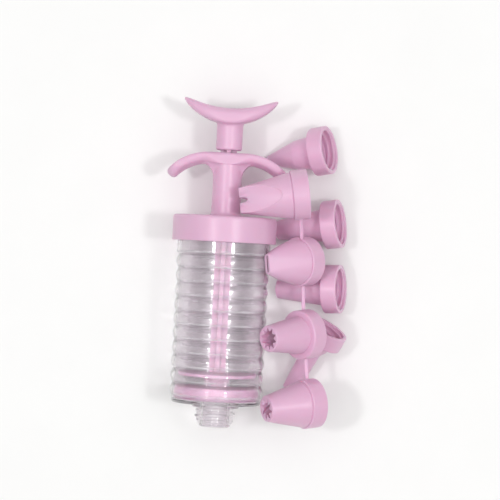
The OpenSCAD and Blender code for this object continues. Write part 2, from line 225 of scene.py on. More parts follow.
def rounded(corners, radii, runs, closed=True, steps=6):
    """Outline through corners, each rounded by an arc that is tangent to its two sides.

    A corner P whose sides leave it at the half angle h to their bisector has its arc from A to B, both at
    radius / tan(h) along the sides. The arc is ((1-t)^2 A + 2 sin(h) t (1-t) P + t^2 B) over the sum of
    the three weights. runs[i] adds so many even points on the side after corner i. Corners are (corner,
    2), or (corner, direction, 2) for an outline that changes with the direction. Returns the points and,
    for each, its place counted in corners.
    """
    least = 1e-9
    most_of_side = 0.48
    corners = np.asarray(corners, float)
    if corners.ndim == 2:
        corners = corners[:, None, :]
    radii = np.asarray(radii, float)[:, None]
    back = np.roll(corners, 1, 0) - corners
    ahead = np.roll(corners, -1, 0) - corners
    back_len = np.linalg.norm(back, axis=-1)
    ahead_len = np.linalg.norm(ahead, axis=-1)
    back = back / np.maximum(back_len, least)[..., None]
    ahead = ahead / np.maximum(ahead_len, least)[..., None]
    half = np.arccos(np.clip((back * ahead).sum(-1), -1, 1)) / 2
    reach = radii / np.maximum(np.tan(half), 1e-6)
    reach = np.minimum(reach, most_of_side * np.minimum(back_len, ahead_len))
    start = corners + back * reach[..., None]
    end = corners + ahead * reach[..., None]
    t = np.linspace(0, 1, steps + 1)[:, None, None, None]
    middle = 2 * np.sin(half)[..., None] * t * (1 - t)
    arcs = ((1 - t) ** 2 * start + middle * corners + t ** 2 * end) / ((1 - t) ** 2 + middle + t ** 2)
    points = []
    marks = []
    for i in range(len(corners)):
        points.append(arcs[:, i])
        marks.append(np.full(steps + 1, float(i)))
        if closed or i < len(corners) - 1:
            share = np.arange(1, runs[i] + 1) / (runs[i] + 1)
            points.append(end[i] + share[:, None, None] * (start[(i + 1) % len(corners)] - end[i]))
            marks.append(i + share)
    return np.concatenate(points), np.concatenate(marks)


def by_direction(profile, count):
    """Corners (corner, direction, 2) of a profile whose radii may be one value or one for each direction."""
    pairs = [np.stack(np.broadcast_arrays(radius, height), -1) for radius, height in profile]
    return np.array([np.broadcast_to(pair, (count, 2)) for pair in pairs])


def at_marks(marks, values):
    """A value given at each corner of a closed outline, carried evenly along its sides, as a column."""
    return np.interp(marks, np.arange(len(values) + 1), [*values, values[0]])[:, None]


def shell(points, closed=True):
    """Closed surface of a grid (row, column, 3): its columns go round, its rows close or end on a point.

    Returns its points and its quads, turned so that the volume they hold is positive.
    """
    rows, columns = points.shape[:2]
    row = np.arange(rows if closed else rows - 1)[:, None]
    column = np.arange(columns)[None, :]
    next_row = (row + 1) % rows * columns
    next_column = (column + 1) % columns
    ring = [row * columns + column, row * columns + next_column, next_row + next_column, next_row + column]
    quads = np.stack(ring, -1).reshape(-1, 4)
    points = points.reshape(-1, 3)
    a, b, c, d = (points[quads[:, k]] - points[0] for k in range(4))
    volume = (a * np.cross(b, c)).sum() + (a * np.cross(c, d)).sum()
    return points, quads if volume > 0 else quads[:, ::-1]


def piece(node, shells, material):
    """One object at the origin from closed shells, standing for the CAD node of that name on its body."""
    starts = np.cumsum([0] + [len(points) for points, _ in shells[:-1]])
    points = np.concatenate([points for points, _ in shells]) * MM
    quads = np.concatenate([quads + start for (_, quads), start in zip(shells, starts)])
    mesh = bpy.data.meshes.new(node + "_moulding")
    mesh.from_pydata(points.tolist(), [], quads.tolist())
    work = bmesh.new()
    work.from_mesh(mesh)
    bmesh.ops.remove_doubles(work, verts=work.verts, dist=1e-6)
    work.to_mesh(mesh)
    work.free()
    mesh.shade_smooth()
    mesh.materials.append(material)
    made = bpy.data.objects.new(node + "_moulding", mesh)
    bpy.context.scene.collection.objects.link(made)
    made.modifiers.new("even_shading", "WEIGHTED_NORMAL")
    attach(made, BODY_OF[node])
    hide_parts(node)


def about_axis(radius, angle, height):
    """Points at a radius and an angle about the syringe's axis, at a height above the bottom plate."""
    around = np.broadcast_arrays(radius * np.cos(angle), height, radius * np.sin(angle))
    return np.stack(around, -1) + SYRINGE_FOOT


def ridge(across):
    """Height of a thread ridge at a distance from its middle: flat over the crest and sloping to the root."""
    return RIDGE_H * smooth((RIDGE_W / 2 - across) / (RIDGE_W / 2 - CREST_W / 2))


def thread(angle, height, low, high, pitch):
    """Ridge that climbs one pitch a turn between two heights.

    Its middle is where (height - low) / pitch = angle / 2 pi + a whole number, and it fades out at both
    ends.
    """
    lead = (height - low) / pitch - angle / (2 * np.pi)
    turn = np.round(lead)
    middle = low + pitch * (turn + angle / (2 * np.pi))
    fade = smooth((middle - low) / RIDGE_W) * smooth((high - middle) / RIDGE_W)
    return fade * ridge(np.abs(lead - turn) * pitch)


def rings(height, first, pitch):
    """Two level thread ridges, one pitch apart."""
    return ridge(np.minimum(np.abs(height - first), np.abs(height - first - pitch)))


def barrel_surface():
    """Ribbed barrel, bottom plate and threaded spout, turned about the axis.

    Between the plain bands the outside is drawn in by RIB_H ((1 + cos 2 pi u) / 2)^VALLEY_POWER, with u
    counting the ribs, which makes broad crests and narrow round valleys.
    """
    ribs_len = BARREL_LEN - LOW_BAND - HIGH_BAND
    band_top = CAP_AT - SEAT_GAP
    corners = [
        (OUTLET_R, -SPOUT_LEN), (NOSE_R, -SPOUT_LEN), (SPOUT_CORE_R, NOSE_LEN - SPOUT_LEN),
        (SPOUT_CORE_R, -BOSS_H), (BOSS_R, -BOSS_H), (BOSS_R, 0), (BARREL_R, 0), (BARREL_R, band_top),
        (BARREL_ROOT_R, band_top), (BARREL_ROOT_R, BARREL_TOP_AT), (BORE_R, BARREL_TOP_AT),
        (BORE_R, BOTTOM_T), (OUTLET_R, BOTTOM_T),
    ]
    radii = [0.3, 0.6, 0.8, 0.4, 0.4, 0.4, 1.2, 0.4, 0.1, 0.4, 0.3, 1.0, 0.4]
    runs = [1, 6, 40, 4, 2, 8, 16 * RIB_COUNT, 0, 36, 1, 60, 10, 10]
    spouted = [0, 0, 1, 1, 0, 0, 0, 0, 0, 0, 0, 0, 0]
    ribbed = [0, 0, 0, 0, 0, 0, 1, 1, 0, 0, 0, 0, 0]
    capped = [0, 0, 0, 0, 0, 0, 0, 0, 1, 1, 0, 0, 0]
    outline, marks = rounded(corners, radii, runs)
    radius, height = outline[..., 0], outline[..., 1]
    count = np.clip((height - LOW_BAND) / ribs_len * RIB_COUNT, 0, RIB_COUNT)
    drawn_in = RIB_H * ((1 + np.cos(2 * np.pi * count)) / 2) ** VALLEY_POWER
    drawn_in = drawn_in * (1 - smooth((height - LOW_BAND - ribs_len) / RIB_H))
    radius = radius - at_marks(marks, ribbed) * drawn_in
    radius = radius + (at_marks(marks, capped) == 1) * rings(height, CAP_AT + THREAD_START, CAP_PITCH)
    angle = turn_angles(BARREL_COLUMNS)
    turns = thread(angle, height, -BOSS_H - 2 * SPOUT_PITCH, -BOSS_H - RIDGE_W / 2, SPOUT_PITCH)
    radius = radius + (at_marks(marks, spouted) == 1) * turns
    return [shell(about_axis(radius, angle, height))]


def slot_outline(half_len, half_w, count):
    """Outline with straight sides and round ends, in even steps: its angle and its reach from the middle."""
    straight = half_len - half_w
    bend = np.pi * half_w
    knots = np.cumsum([0, bend, 2 * straight, bend, 2 * straight])
    run = np.linspace(0, knots[-1], count, endpoint=False)
    middle = np.interp(run, knots, [straight, straight, -straight, -straight, straight])
    facing = np.interp(run, knots, np.pi * np.array([-0.5, 0.5, 0.5, 1.5, 1.5]))
    x = middle + half_w * np.cos(facing)
    y = half_w * np.sin(facing)
    return np.arctan2(y, x), np.hypot(x, y)


def finger_cap_surface():
    """Screw cap, neck and finger wings as one profile carried round the axis.

    In each direction the profile runs up the cap and the neck, out along the underside of a flat
    round-ended plate to that plate's outline and back along its top to the rod's guide hole. The
    underside is a belly: across the plate it rises by B - sqrt(B^2 - z^2). Past its straight middle the
    plate is bent: a point at a distance s along its top and h above it goes to
    (R + h) (sin(s / R), cos(s / R)), faded in over the web under the wings.
    """
    half = GRIP_SPAN / 2 - GRIP_FLAT / 2
    bend_r = arc_radius(half, GRIP_DROP)
    belly_r = arc_radius(GRIP_W / 2, GRIP_T - RIM_T)
    half_len = GRIP_FLAT / 2 + bend_r * math.asin(half / bend_r) + WING_END
    angle, reach = slot_outline(half_len, GRIP_W / 2, CAP_COLUMNS)
    under = GRIP_TOP_AT - GRIP_T
    corners = by_direction([
        (CAP_BORE_R, CAP_AT), (CAP_R, CAP_AT), (CAP_R, CAP_TOP_AT), (NECK_FOOT_R, CAP_TOP_AT),
        (NECK_R, CAP_TOP_AT + CAP_ROUND), (NECK_R, under), (reach, under), (reach, GRIP_TOP_AT),
        (GUIDE_R, GRIP_TOP_AT), (GUIDE_R, CAP_UNDER_AT), (CAP_BORE_R, CAP_UNDER_AT),
    ], len(angle))
    radii = [0.4, 0.5, CAP_ROUND, 0.8, 3.0, WEB_R, GRIP_EDGE, GRIP_EDGE, 0.5, 0.2, 0.6]
    runs = [1, 8, 10, 1, 16, 20, 2, 24, 20, 10, 30]
    inside = [1, 0, 0, 0, 0, 0, 0, 0, 0, 0, 1]
    outline, marks = rounded(corners, radii, runs)
    radius, height = outline[..., 0], outline[..., 1]
    ridges = rings(height, CAP_AT + THREAD_START + CAP_PITCH / 2, CAP_PITCH)
    radius = radius - (at_marks(marks, inside) == 1) * ridges
    x = radius * np.cos(angle)
    z = radius * np.sin(angle)
    bent = smooth((height - under + WEB_R + WEB_FADE) / WEB_R)
    rise = arc_fall(belly_r, np.clip(z, -GRIP_W / 2, GRIP_W / 2)) * smooth((radius - NECK_R) / WEB_R)
    height = height + bent * rise * np.clip((GRIP_TOP_AT - height) / GRIP_T, 0, 1)
    proud = height - GRIP_TOP_AT
    along = np.maximum(np.abs(x) - GRIP_FLAT / 2, 0) / bend_r
    bent_x = np.sign(x) * (np.minimum(np.abs(x), GRIP_FLAT / 2) + (bend_r + proud) * np.sin(along))
    bent_height = GRIP_TOP_AT - bend_r + (bend_r + proud) * np.cos(along)
    x = x + bent * (bent_x - x)
    height = height + bent * (bent_height - height)
    return [shell(np.stack([x, height, z], -1) + SYRINGE_FOOT)]


def thumb_rest_surface():
    """Crescent thumb rest and its round socket as one profile carried round the axis.

    Seen along the rod the rest is a lens of two arcs with blunt ends: its reach is
    (lens^-p + blunt^-p)^(-1/p). Its underside and its top follow two arcs of their own, which leave the
    round end at out and up_share of its radius. On these a flat distance x is taken as a share of half
    the span.
    """
    out, up_share = 0.8, 0.6
    blunt_share = 0.9
    power = 14
    bend_fade = 4
    half = THUMB_SPAN / 2 - THUMB_END_R
    under_half = half + out * THUMB_END_R
    over_half = half - out * THUMB_END_R
    under_r = arc_radius(under_half, THUMB_RISE - up_share * THUMB_END_R)
    over_r = arc_radius(over_half, THUMB_RISE - THUMB_T + up_share * THUMB_END_R)
    outline_r = arc_radius(THUMB_SPAN / 2 + 2 * THUMB_END_R, THUMB_W / 2)
    outline_off = outline_r - THUMB_W / 2
    t = np.linspace(0, 2 * np.pi, THUMB_COLUMNS, endpoint=False)
    angle = np.arctan2(THUMB_W / THUMB_SPAN * np.sin(t), np.cos(t))
    lens = np.sqrt(outline_r ** 2 - (outline_off * np.cos(angle)) ** 2) - outline_off * np.abs(np.sin(angle))
    blunt = (half + blunt_share * THUMB_END_R) / np.maximum(np.abs(np.cos(angle)), 1e-3)
    reach = (lens ** -power + blunt ** -power) ** (-1 / power)
    bore_r = ROD_R + PRESS_GAP
    bore_end = SOCKET_DEPTH + SEAT_GAP - SOCKET_LEN
    corners = by_direction([
        (0, bore_end), (bore_r, bore_end), (bore_r, -SOCKET_LEN), (SOCKET_R, -SOCKET_LEN), (SOCKET_R, 0),
        (reach, 0), (reach, THUMB_T), (0, THUMB_T),
    ], len(angle))
    radii = [0, 0.3, 0.4, 1.3, 1.6, THUMB_EDGE, THUMB_EDGE, 0]
    runs = [4, 8, 1, 10, 16, 2, 24, 0]
    outline, _ = rounded(corners, radii, runs, closed=False)
    radius, height = outline[..., 0], outline[..., 1]
    x = radius * np.cos(angle)
    z = radius * np.sin(angle)
    share = x / half
    up = np.clip(height / THUMB_T, 0, 1)
    under_rise = arc_fall(under_r, share * under_half)
    over_rise = arc_fall(over_r, share * over_half)
    below = smooth(1 + height / bend_fade)
    rise = np.where(height < 0, below * under_rise, under_rise + up * (over_rise - under_rise))
    spread = np.where(height < 0, x, x * (under_half + up * (over_half - under_half)) / half)
    return [shell(np.stack([spread, THUMB_AT + height + rise, z], -1) + SYRINGE_FOOT, closed=False)]


def plunger_rod_surface():
    """Cross-ribbed rod along the axis, with the thin disc and the spigot turned about it."""
    edge_r, root_r = 0.35, 0.5
    sink = 0.2
    chamfer = 0.4
    arm = ROD_RIB_T / 2
    tip = ROD_R - 0.1
    corner = np.array([(tip, -arm), (tip, arm), (arm, arm)])
    quarter = [np.array([[c, s], [-s, c]]) for c, s in ((1, 0), (0, 1), (-1, 0), (0, -1))]
    corners = np.concatenate([corner @ turn for turn in quarter])
    cross, _ = rounded(corners, [edge_r, edge_r, root_r] * 4, [2, 3, 3] * 4)
    rod_top = SOCKET_AT + SOCKET_DEPTH
    rod_foot = ROD_AT - sink
    stations = np.linspace(ROD_AT, rod_top - chamfer, 60)
    heights = np.array([rod_foot, rod_foot, *stations, rod_top, rod_top])
    scale = np.ones(len(heights))
    scale[[0, -1]] = 0
    scale[-2] = 0.9
    x = scale[:, None] * cross[None, :, 0, 0]
    z = scale[:, None] * cross[None, :, 0, 1]
    rod = np.stack(np.broadcast_arrays(x, heights[:, None], z), -1) + SYRINGE_FOOT
    foot = DISC_AT - SPIGOT_LEN
    disc, _ = rounded(
        [(0, foot), (SPIGOT_R, foot), (SPIGOT_R, DISC_AT), (DISC_R, DISC_AT), (DISC_R, ROD_AT), (0, ROD_AT)],
        [0, 0.5, 0.1, 0.5, 0.5, 0], [2, 4, 8, 0, 10, 0], closed=False)
    turned = about_axis(disc[..., 0], turn_angles(DISC_COLUMNS), disc[..., 1])
    return [shell(rod, closed=False), shell(turned, closed=False)]


def piston_head_surface():
    """Thick piston disc and its hub, turned about the axis, hollow for the rod's spigot."""
    piston_r = BORE_R - SLIDE_GAP
    top = PISTON_AT + PISTON_T
    hole_r = SPIGOT_R + PRESS_GAP
    hole_end = DISC_AT - SPIGOT_LEN - SEAT_GAP
    corners = [
        (0, PISTON_AT), (piston_r, PISTON_AT), (piston_r, top), (HUB_R, top), (HUB_R, DISC_AT),
        (hole_r, DISC_AT), (hole_r, hole_end), (0, hole_end),
    ]
    radii = [0, 1.0, 1.0, 1.2, 0.3, 0.2, 0.2, 0]
    outline, _ = rounded(corners, radii, [12, 3, 8, 3, 1, 6, 3, 0], closed=False)
    turned = about_axis(outline[..., 0], turn_angles(PISTON_COLUMNS), outline[..., 1])
    return [shell(turned, closed=False)]


def nozzle_form(base_r, tip_r, hole_r, length, columns, bends=()):
    """Collar and hollow tapered body standing on the mouth, as grids over profile and angle.

    A bend is a radius of the body and its height above the collar. Returns radius, height, angle and the
    share of the inner wall, which is 0 outside, 1 inside and goes evenly from one to the other across the
    rim at the tip and the rim at the mouth. The collar's bore has a climbing thread.
    """
    top = COLLAR_LEN + length
    foot = COLLAR_LEN + GROOVE
    inner_r = base_r - NOZZLE_WALL - GROOVE
    floor = COLLAR_LEN - NOZZLE_WALL
    thread_low, thread_high = 0.2, floor - 0.4
    outside = [
        (COLLAR_R, 0), (COLLAR_R, COLLAR_LEN), (base_r - GROOVE, COLLAR_LEN), (base_r, foot),
        *[(bend_r, COLLAR_LEN + bend_at) for bend_r, bend_at in bends], (tip_r, top),
    ]
    inside = [
        (hole_r, top), *[(bend_r - NOZZLE_WALL, COLLAR_LEN + bend_at) for bend_r, bend_at in bends],
        (inner_r, foot), (inner_r, floor), (COLLAR_BORE_R, floor), (COLLAR_BORE_R, 0),
    ]
    bend_radii = [BEND_ROUND] * len(bends)
    radii = [0.5, 0.8, 0.15, 0.5, *bend_radii, 0.6, 0.25, *bend_radii, 0.8, 0.3, 0.5, 0.4]
    runs = [4, 2, 0, *[36] * len(bends), 36, 4, *[44] * len(bends), 44, 2, 1, 44, 1]
    outline, marks = rounded(outside + inside, radii, runs)
    radius, height = outline[..., 0], outline[..., 1]
    angle = turn_angles(columns)
    socket = at_marks(marks, [0] * (len(radii) - 2) + [1, 1]) == 1
    radius = radius - socket * thread(angle, height, thread_low, thread_high, SPOUT_PITCH)
    inner = at_marks(marks, [0] * len(outside) + [1] * len(inside))
    return np.broadcast_arrays(radius, height, angle, inner)


def stand(place, x, y, height):
    """Points of a nozzle that stands on its mouth, put into its place.

    A place is the mouth's centre from the syringe's foot on the table, the tip's tilt and the turn about
    the vertical.
    """
    mouth, tilt, turn = place
    level = np.array([math.cos(turn), math.sin(turn), 0])
    up = np.array([0, 0, 1])
    side = np.array([-math.sin(turn), math.cos(turn), 0])
    over = math.sin(tilt) * level + math.cos(tilt) * up
    axis = math.sin(tilt) * up - math.cos(tilt) * level
    table = SYRINGE_FOOT - np.array([0, 0, CAP_R])
    return x[..., None] * over + y[..., None] * side + height[..., None] * axis + mouth + table


def axis_of(place):
    """Direction of a nozzle in its place, from its mouth to its tip."""
    _, tilt, turn = place
    level = math.cos(tilt)
    return np.array([-level * math.cos(turn), -level * math.sin(turn), math.sin(tilt)])


def on_table(x, y, tip_r, length, turn):
    """Place of a nozzle that touches the table with its collar's front edge and its tip."""
    tilt = -math.atan((COLLAR_R - tip_r) / length)
    height = COLLAR_R * math.cos(tilt) - COLLAR_LEN * math.sin(tilt)
    return np.array([x, y, height]), tilt, math.radians(turn)


def on_barrel(x, y, half_edge, length, tilt, turn):
    """Place of a nozzle whose tip leans with its lower edge on the barrel's side."""
    tilt = math.radians(tilt)
    low_x = x - half_edge * math.sin(tilt)
    low_z = CAP_R + math.sqrt((BARREL_R + LAY_GAP) ** 2 - low_x ** 2)
    tip = np.array([x, y, low_z + half_edge * math.cos(tilt)])
    place = (tip, tilt, math.radians(turn))
    return tip - (COLLAR_LEN + length) * axis_of(place), tilt, math.radians(turn)


def on_wing(x, y, tip_r, length, tilt, turn):
    """Place of a nozzle that lies across the right finger wing with the middle of its body."""
    tilt = math.radians(tilt)
    lift = (FULL_R + tip_r) / 2 - LEAF_SINK - (COLLAR_LEN + length) / 2 * math.sin(tilt)
    return np.array([x, y, CAP_R + GRIP_W / 2 + lift]), tilt, math.radians(turn)


PLACES = {
    "fine_round": on_table(52.5, 135.4, FINE_TIP_R, FINE_LEN, 12),
    "wide_round": on_table(60.5, 97, SLENDER_TIP_R, SLENDER_LEN, 9),
    "small_star": on_table(62.5, 62.6, SLENDER_TIP_R, SLENDER_LEN, 3),
    "filler": on_table(55.4, 42.3, FILLER_TIP_R, FILLER_LEN, 64),
    "open_star": on_barrel(25.4, 35.8, STAR_TIP_R, STAR_LEN, 42, 8),
    "swirl_star": on_barrel(26.4, -0.3, STAR_TIP_R, STAR_LEN, 29, 8),
    "petal": on_barrel(23, CAP_AT - 10.2, PETAL_T / 2, STAR_LEN, 43, 7),
    "leaf": on_wing(42, GRIP_TOP_AT - 19.3, LEAF_TIP_R, LEAF_LEN, 3, 9),
}


def round_nozzle(place, base_r, tip_r, hole_r, length, bends=()):
    """Nozzle with a plain round opening."""
    radius, height, angle, _ = nozzle_form(base_r, tip_r, hole_r, length, ROUND_COLUMNS, bends)
    return [shell(stand(place, radius * np.cos(angle), radius * np.sin(angle), height))]


def star_nozzle(place, base_r, tip_r, hole_r, slot_r, length, teeth, lean, sharpness):
    """Nozzle whose opening is a star.

    Near the tip the inner wall keeps at least hole + (slot - hole) wave^sharpness, where wave rises and
    falls once a tooth. A lean puts the crest off the middle of its tooth, and the crests turn with the
    depth below the tip.
    """
    cut = 5.0
    cut_fade = 0.8
    twist = lean * 0.35
    radius, height, angle, inner = nozzle_form(base_r, tip_r, hole_r, length, TOOTH_COLUMNS * teeth)
    depth = COLLAR_LEN + length - height
    phase = (angle * teeth / (2 * np.pi) + twist * depth) % 1
    crest = 0.5 + 0.5 * lean
    wave = np.where(phase < crest, phase / crest, (1 - phase) / (1 - crest))
    star_r = hole_r + (slot_r - hole_r) * wave ** sharpness
    slope = (base_r - NOZZLE_WALL - GROOVE - hole_r) / (length - GROOVE)
    opened = smooth((cut - depth) / cut_fade) * np.maximum(star_r - hole_r - slope * depth, 0)
    radius = radius + inner * opened
    return [shell(stand(place, radius * np.cos(angle), radius * np.sin(angle), height))]


def leaf_nozzle(place):
    """Nozzle whose body is cut by two sloping planes to a blunt wedge.

    At a depth d below the tip the planes are LEAF_TIP_HALF + d tan(LEAF_ANGLE) from the middle. A wall of
    radius r + k d meets them at d = (r |sin| - LEAF_TIP_HALF) / (tan - k |sin|), and it is drawn back to
    there in proportion.
    """
    radius, height, angle, inner = nozzle_form(FULL_R, LEAF_TIP_R, LEAF_HOLE_R, LEAF_LEN, CUT_COLUMNS)
    run = LEAF_LEN - GROOVE
    outer_slope = (FULL_R - LEAF_TIP_R) / run
    inner_slope = (FULL_R - NOZZLE_WALL - GROOVE - LEAF_HOLE_R) / run
    across = np.abs(np.sin(angle))
    steep = math.tan(LEAF_ANGLE)
    outer_depth = np.maximum(LEAF_TIP_R * across - LEAF_TIP_HALF, 0) / (steep - outer_slope * across)
    inner_depth = np.maximum(LEAF_HOLE_R * across - LEAF_TIP_HALF, 0) / (steep - inner_slope * across)
    drawn = np.clip((height - COLLAR_LEN - GROOVE) / run, 0, 1)
    drawn = drawn * (outer_depth + inner * (inner_depth - outer_depth))
    height = height - drawn
    radius = radius + drawn * (outer_slope + inner * (inner_slope - outer_slope))
    rolled = angle + LEAF_ROLL
    return [shell(stand(place, radius * np.cos(rolled), radius * np.sin(rolled), height))]


def petal_nozzle(place):
    """Nozzle whose body goes from a circle to a level slot with round ends.

    At a share f of the length a wall point is (1 - f) of its circle and f of the slot's point that faces
    the same way. Sideways f is taken flank_swell sin(pi f) smaller, which swells the flanks a little.
    """
    inner_edge = PETAL_EDGE - 2 * PETAL_RIM
    inner_t = PETAL_T - 2 * PETAL_LIP
    corner_rate = 6
    flank_swell = 0.1
    inner_r = FULL_R - NOZZLE_WALL - GROOVE
    radius, height, angle, inner = nozzle_form(FULL_R, FULL_R, inner_r, STAR_LEN, CUT_COLUMNS)
    share = np.clip((height - COLLAR_LEN - GROOVE) / (STAR_LEN - GROOVE), 0, 1)
    end_r = (PETAL_T + inner * (inner_t - PETAL_T)) / 2
    middle = (PETAL_EDGE + inner * (inner_edge - PETAL_EDGE)) / 2 - end_r
    slot_x = end_r * np.cos(angle)
    slot_y = middle * np.tanh(corner_rate * np.sin(angle)) + end_r * np.sin(angle)
    swell = share - flank_swell * np.sin(np.pi * share)
    x = (1 - share) * radius * np.cos(angle) + share * slot_x
    y = (1 - swell) * radius * np.sin(angle) + swell * slot_y
    return [shell(stand(place, x, y, height))]


def runner_surface():
    """Three strips of a rounded square section, each from one collar of the upper row to the next.

    A strip runs between the middles of two collars' axes and starts where it leaves the collar: at the
    distance along it at which its distance from that collar's axis is the collar's radius.
    """
    stations = 24
    sink = 0.2
    end_taper, taper_power = 0.25, 6
    row = [PLACES[name] for name in ("leaf", "petal", "open_star", "swirl_star")]
    angle = turn_angles(STRIP_COLUMNS)
    section = (np.cos(angle) ** 4 + np.sin(angle) ** 4) ** -0.25 * RUNNER_W / 2
    table = SYRINGE_FOOT - np.array([0, 0, CAP_R])
    strips = []
    for one, other in zip(row, row[1:]):
        start = one[0] + axis_of(one) * COLLAR_LEN / 2
        end = other[0] + axis_of(other) * COLLAR_LEN / 2
        length = np.linalg.norm(end - start)
        along = (end - start) / length
        away = [COLLAR_R / np.linalg.norm(np.cross(along, axis_of(place))) for place in (one, other)]
        steps = np.linspace(away[0] - sink, length - away[1] + sink, stations)
        share = np.linspace(-1, 1, stations)
        scale = 1 - end_taper * np.abs(share) ** taper_power
        steps = np.concatenate([steps[:1], steps, steps[-1:]])[:, None, None]
        scale = np.concatenate([[0], scale, [0]])[:, None]
        side = np.cross(along, [0, 0, 1.0])
        side = side / np.linalg.norm(side)
        up = np.cross(side, along)
        reach = (scale * section)[..., None]
        around = np.cos(angle)[..., None] * side + np.sin(angle)[..., None] * up
        strips.append(shell(start + steps * along + reach * around + table, closed=False))
    return strips


class Value:
    """A shader socket. Arithmetic on it adds the Math nodes that work it out."""

    def __init__(self, finish, socket):
        self.finish = finish
        self.socket = socket

    def __add__(self, other):
        return self.finish.math("ADD", self, other)

    def __sub__(self, other):
        return self.finish.math("SUBTRACT", self, other)

    def __rsub__(self, other):
        return self.finish.math("SUBTRACT", other, self)

    def __mul__(self, other):
        return self.finish.math("MULTIPLY", self, other)

    __radd__ = __add__
    __rmul__ = __mul__


class Finish:
    """A material or a surround being made. node() adds any node and links or sets its sockets."""

    def __init__(self, owner):
        self.owner = owner
        owner.use_nodes = True
        self.tree = owner.node_tree
        self.tree.nodes.clear()

    def node(self, kind, settings=None, inputs=None, output=0):
        made = self.tree.nodes.new("ShaderNode" + kind)
        for name, value in (settings or {}).items():
            setattr(made, name, value)
        for name, value in (inputs or {}).items():
            if isinstance(value, Value):
                self.tree.links.new(value.socket, made.inputs[name])
            else:
                made.inputs[name].default_value = value
        return Value(self, made.outputs[output]) if made.outputs else made

    def math(self, operation, *values):
        return self.node("Math", {"operation": operation}, dict(enumerate(values)))

    def peaks(self, count, power):
        """((1 + cos 2 pi count) / 2) ^ power: a peak at each whole number, narrower with a higher power."""
        return self.math("POWER", 0.5 + 0.5 * self.math("COSINE", 2 * math.pi * count), power)

    def noise(self, where, scale, detail):
        return self.node("TexNoise", None, {"Vector": where, "Scale": scale, "Detail": detail})

    def colours(self, share, one, other):
        """A colour between two, by a share."""
        return self.node("Mix", {"data_type": "RGBA"}, {0: share, 6: (*one, 1), 7: (*other, 1)}, 2)

    def done(self, surface, kind="OutputMaterial"):
        self.node(kind, None, {"Surface": surface})
        return self.owner


def pink_plastic():
    """Satin moulded plastic: cloudy flow in two close pinks, a fine moulded grain and uneven gloss."""
    finish = Finish(bpy.data.materials.new("pink_plastic"))
    where = finish.node("TexCoord", output="Object")
    cloud = finish.noise(where, 55.0, 3.0)
    grain = finish.noise(where, 1400.0, 2.0)
    smear = finish.noise(where, 220.0, 4.0)
    colour = finish.colours(cloud, (0.748, 0.455, 0.63), (0.798, 0.505, 0.68))
    rough = 0.25 + 0.08 * grain + 0.08 * smear
    bump = finish.node("Bump", None, {"Strength": 0.12, "Distance": 0.0002, "Height": grain})
    surface = finish.node("BsdfPrincipled", None, {
        "Base Color": colour,
        "Roughness": rough,
        "Normal": bump,
        "IOR": 1.49,
        "Subsurface Weight": 0.4,
        "Subsurface Radius": (1.0, 0.5, 0.65),
        "Subsurface Scale": 0.003,
    })
    return finish.done(surface)


def clear_plastic():
    """Clear glossy plastic that lets most light through to what is inside.

    With u counting the ribs, painted shade makes the wall darker where (1 + cos 2 pi u) / 2 peaks, in the
    valleys, and a pale painted highlight line runs next to each of them, with level ones across the spout.
    The rest has slow moulding ripples and a faint uneven haze.
    """
    finish = Finish(bpy.data.materials.new("clear_plastic"))
    where = finish.node("TexCoord", output="Object")
    ripple = finish.noise(where, 160.0, 2.0)
    haze = finish.noise(where, 420.0, 4.0)
    margin = 0.3
    # Painted highlight: how far the pale line sits from each groove, as a share of a rib
    painted_line_off = 0.16
    rib_len = (BARREL_LEN - LOW_BAND - HIGH_BAND) / RIB_COUNT
    along = finish.node("SeparateXYZ", None, {"Vector": where}, 1)
    count = (along - (SYRINGE_FOOT[1] + LOW_BAND) * MM) * (1 / (rib_len * MM))
    ribbed = finish.math("GREATER_THAN", count, -margin) * finish.math("LESS_THAN", count, RIB_COUNT + margin)
    # Painted shade: a mask that peaks in the grooves between the ribs
    painted_valley_shade = ribbed * finish.peaks(count, 5)
    # Painted highlight: level lines across the spout, half a thread pitch apart
    turns = finish.math("LESS_THAN", count, -margin) * finish.peaks(along * (2 / (SPOUT_PITCH * MM)), 4)
    broken = 2 * finish.noise(where, 90.0, 3.0) - 0.4
    # Painted highlight: pale lines next to the grooves and across the spout, broken up by noise
    painted_rib_highlight = (ribbed * finish.peaks(count - painted_line_off, 12) + turns) * broken
    # Painted shade: the clear colour turns to the second, greyer one in the grooves between the ribs
    colour = finish.colours(painted_valley_shade, (0.86, 0.825, 0.855), (0.66, 0.615, 0.655))
    bump = finish.node("Bump", None, {"Strength": 0.15, "Distance": 0.0003, "Height": ripple})
    cover = 1 - 0.86 * finish.node("LightPath", output="Is Shadow Ray")
    clear = finish.node("BsdfPrincipled", None, {
        "Base Color": colour,
        "Roughness": 0.01 + 0.04 * haze,
        "Alpha": cover,
        "Normal": bump,
        "IOR": 1.22,
        "Transmission Weight": 1.0,
        "Coat Weight": 1.0,
        "Coat Roughness": 0.03,
    })
    # Pale shader for the faint uneven haze and for the painted highlight lines
    haze_and_painted_sheen = finish.node("BsdfPrincipled", None, {
        "Base Color": (0.80, 0.77, 0.80, 1),
        "Roughness": 0.3,
        "Alpha": cover,
    })
    # The mix adds the faint haze everywhere and the painted highlight lines on the ribs and the spout
    surface = finish.node("MixShader", None, {0: 0.04 + 0.08 * haze + 0.35 * painted_rib_highlight, 1: clear, 2: haze_and_painted_sheen})
    return finish.done(surface)


def pale_floor():
    """Matt near-white table."""
    finish = Finish(bpy.data.materials.new("pale_floor"))
    where = finish.node("TexCoord", output="Object")
    fleck = finish.noise(where, 30.0, 3.0)
    colour = finish.colours(fleck, (0.93, 0.93, 0.92), (0.96, 0.96, 0.95))
    return finish.done(finish.node("BsdfPrincipled", None, {"Base Color": colour, "Roughness": 0.9}))


